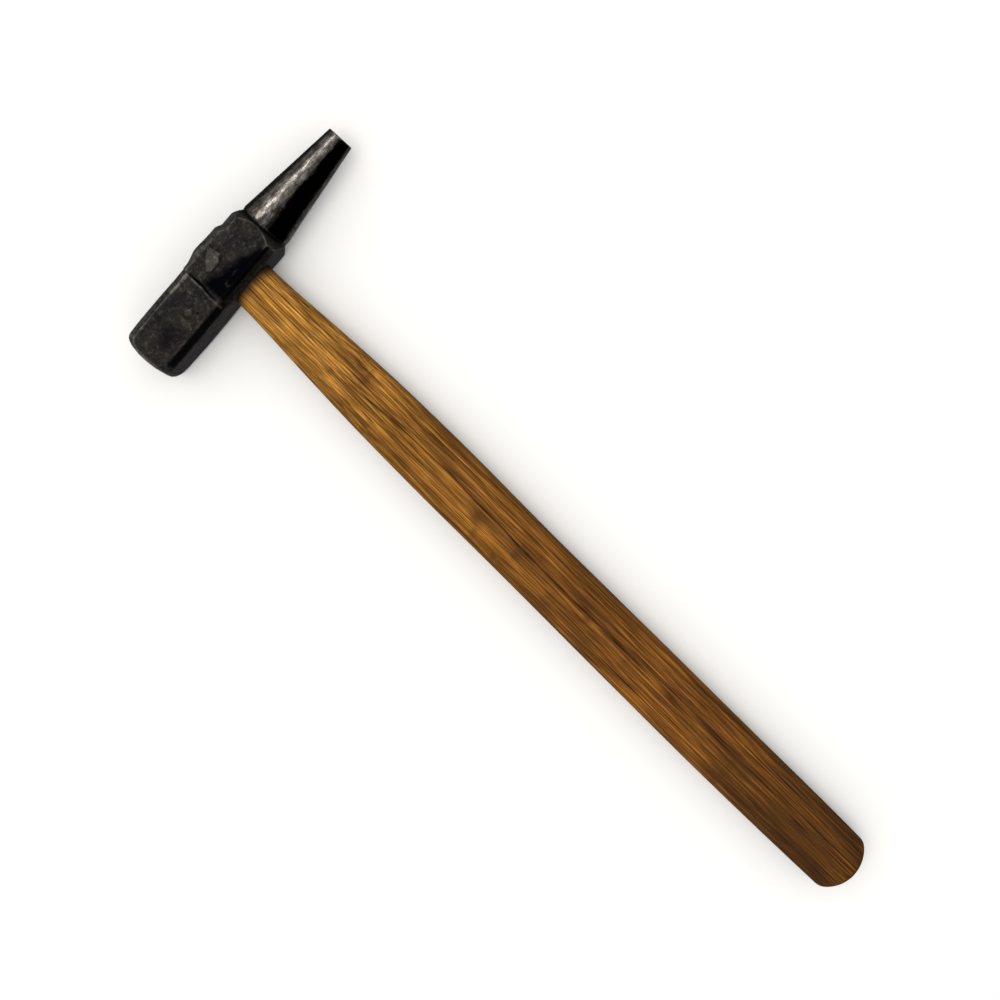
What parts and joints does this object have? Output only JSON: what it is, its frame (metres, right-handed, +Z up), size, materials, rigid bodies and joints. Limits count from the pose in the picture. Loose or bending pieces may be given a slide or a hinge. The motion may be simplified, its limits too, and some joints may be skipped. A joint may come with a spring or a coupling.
{
  "type": "handled round punch hammer",
  "caption": "Forged steel head with an octagonal struck poll and a long round tapered punch, wedged on an oval wooden handle.",
  "frame": {"origin": "on the ground under the middle of the whole hammer, which lies on its side", "axes": "+X from the struck poll to the punch, +Y from the butt of the handle to the head, +Z up, across the head's cheeks"},
  "size_m": [0.1294, 0.3994, 0.0259],
  "materials": {
    "forged_steel": "forged and turned steel under a dark oxide scale, worn brighter on its edges and along the punch",
    "stained_wood": "ring-porous hardwood, brown stain rubbed with oil, satin, darker towards the butt",
    "wedge_wood": "bare sawn hardwood, end grain at the top",
    "wedge_steel": "plain mild steel, hammered flush"
  },
  "bodies": {
    "root": {"hammer_head": "forged_steel", "handle": "stained_wood", "wooden_wedge": "wedge_wood", "steel_wedge_1": "wedge_steel", "steel_wedge_2": "wedge_steel"}
  },
  "joints": []
}
